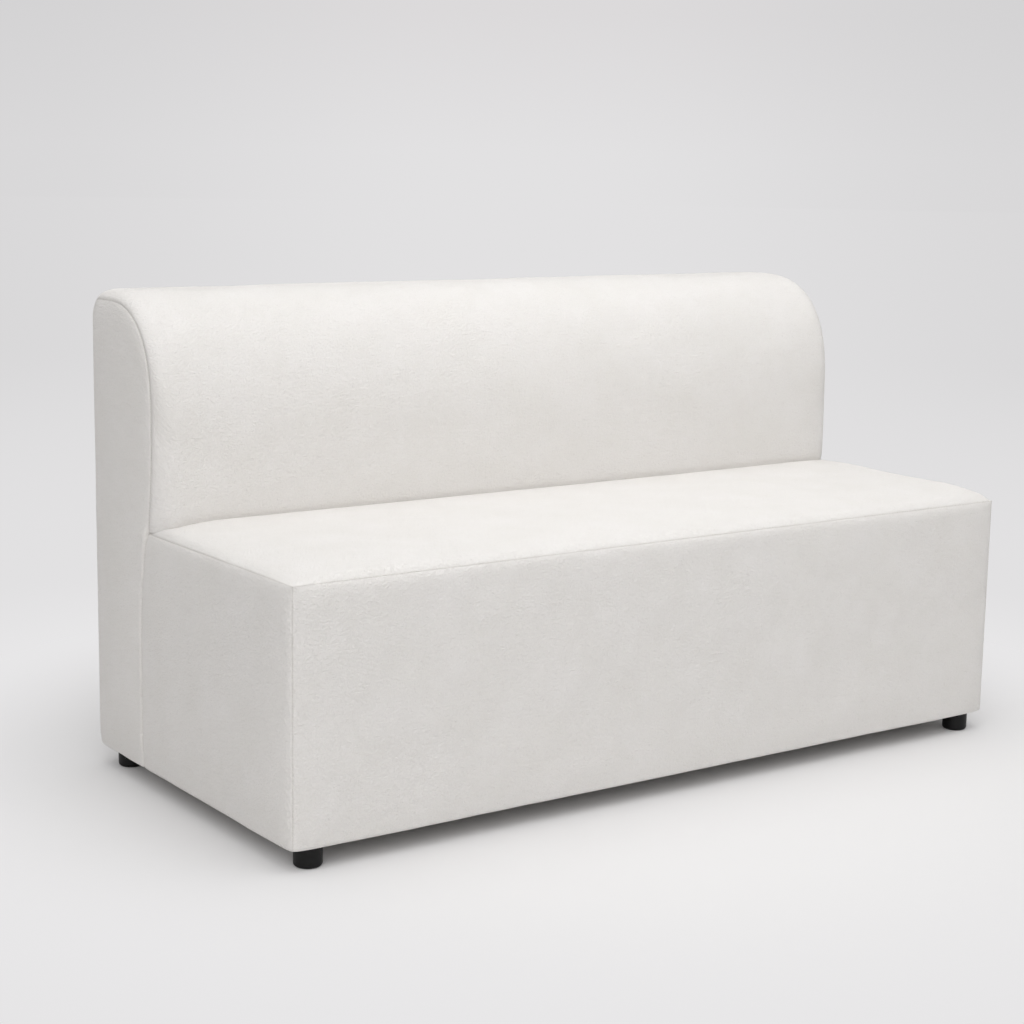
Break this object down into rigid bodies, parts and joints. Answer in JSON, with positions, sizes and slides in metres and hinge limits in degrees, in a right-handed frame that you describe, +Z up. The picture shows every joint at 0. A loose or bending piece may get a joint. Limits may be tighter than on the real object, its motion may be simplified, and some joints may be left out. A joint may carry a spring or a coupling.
{
  "type": "three-seater sofa",
  "caption": "Armless upholstered sofa: a box seat with a softly crowned top in front of a full-height back with a broad rounded crest, on short round feet.",
  "frame": {"origin": "on the floor, below the middle of the overall box", "axes": "+X along the length, to the right seen from the front; -Y towards the front; +Z up"},
  "size_m": [1.5, 0.7, 0.828],
  "materials": {
    "upholstery": "matt fine-pile woven fabric, off-white",
    "lining": "plain woven lining, off-white",
    "wadding": "soft polyester wadding, white",
    "foam": "open-cell upholstery foam, pale cream",
    "webbing": "woven elastic webbing, black",
    "dust_cloth": "non-woven dust cloth, black",
    "softwood": "planed softwood, unfinished",
    "plywood": "birch plywood, unfinished",
    "hardboard": "thin hardboard, brown",
    "foot_plastic": "satin moulded plastic, black",
    "steel": "zinc-plated steel"
  },
  "bodies": {
    "root": {"seat_rail_front_low": "softwood", "seat_rail_front_high": "softwood", "seat_rail_rear_low": "softwood", "seat_rail_rear_high": "softwood", "seat_rail_left_low": "softwood", "seat_rail_left_high": "softwood", "seat_rail_right_low": "softwood", "seat_rail_right_high": "softwood", "seat_post_front_left": "softwood", "seat_post_front_right": "softwood", "seat_post_rear_left": "softwood", "seat_post_rear_right": "softwood", "seat_post_front_mid": "softwood", "seat_post_rear_mid": "softwood", "seat_stretcher_mid": "softwood", "seat_board_front": "hardboard", "seat_board_left": "hardboard", "seat_board_right": "hardboard", "seat_webbing_long": "webbing", "seat_webbing_cross": "webbing", "seat_foam_core": "foam", "seat_wadding_top": "wadding", "seat_wadding_front": "wadding", "seat_wadding_left": "wadding", "seat_wadding_right": "wadding", "seat_wadding_rear": "wadding", "seat_cover_top": "upholstery", "seat_cover_front": "upholstery", "seat_cover_left": "upholstery", "seat_cover_right": "upholstery", "seat_cover_rear": "lining", "seat_dust_cover": "dust_cloth", "foot_front_left": "foot_plastic", "foot_front_right": "foot_plastic", "foot_rear_left": "foot_plastic", "foot_rear_right": "foot_plastic", "foot_bolts": "steel", "back_plank": "softwood", "back_former_left": "plywood", "back_former_right": "plywood", "back_rib_left": "plywood", "back_rib_right": "plywood", "back_rail_face_mid": "softwood", "back_rail_face_high": "softwood", "back_rail_crest": "softwood", "back_rail_rear": "softwood", "back_board_face": "hardboard", "back_board_rear": "hardboard", "back_foam_face": "foam", "back_pad_left": "foam", "back_pad_right": "foam", "back_wadding_rear": "wadding", "back_cover_face": "upholstery", "back_cover_left": "upholstery", "back_cover_right": "upholstery", "back_cover_rear": "upholstery", "back_dust_cover": "dust_cloth", "joining_plates": "steel", "joining_screws": "steel"}
  },
  "joints": []
}
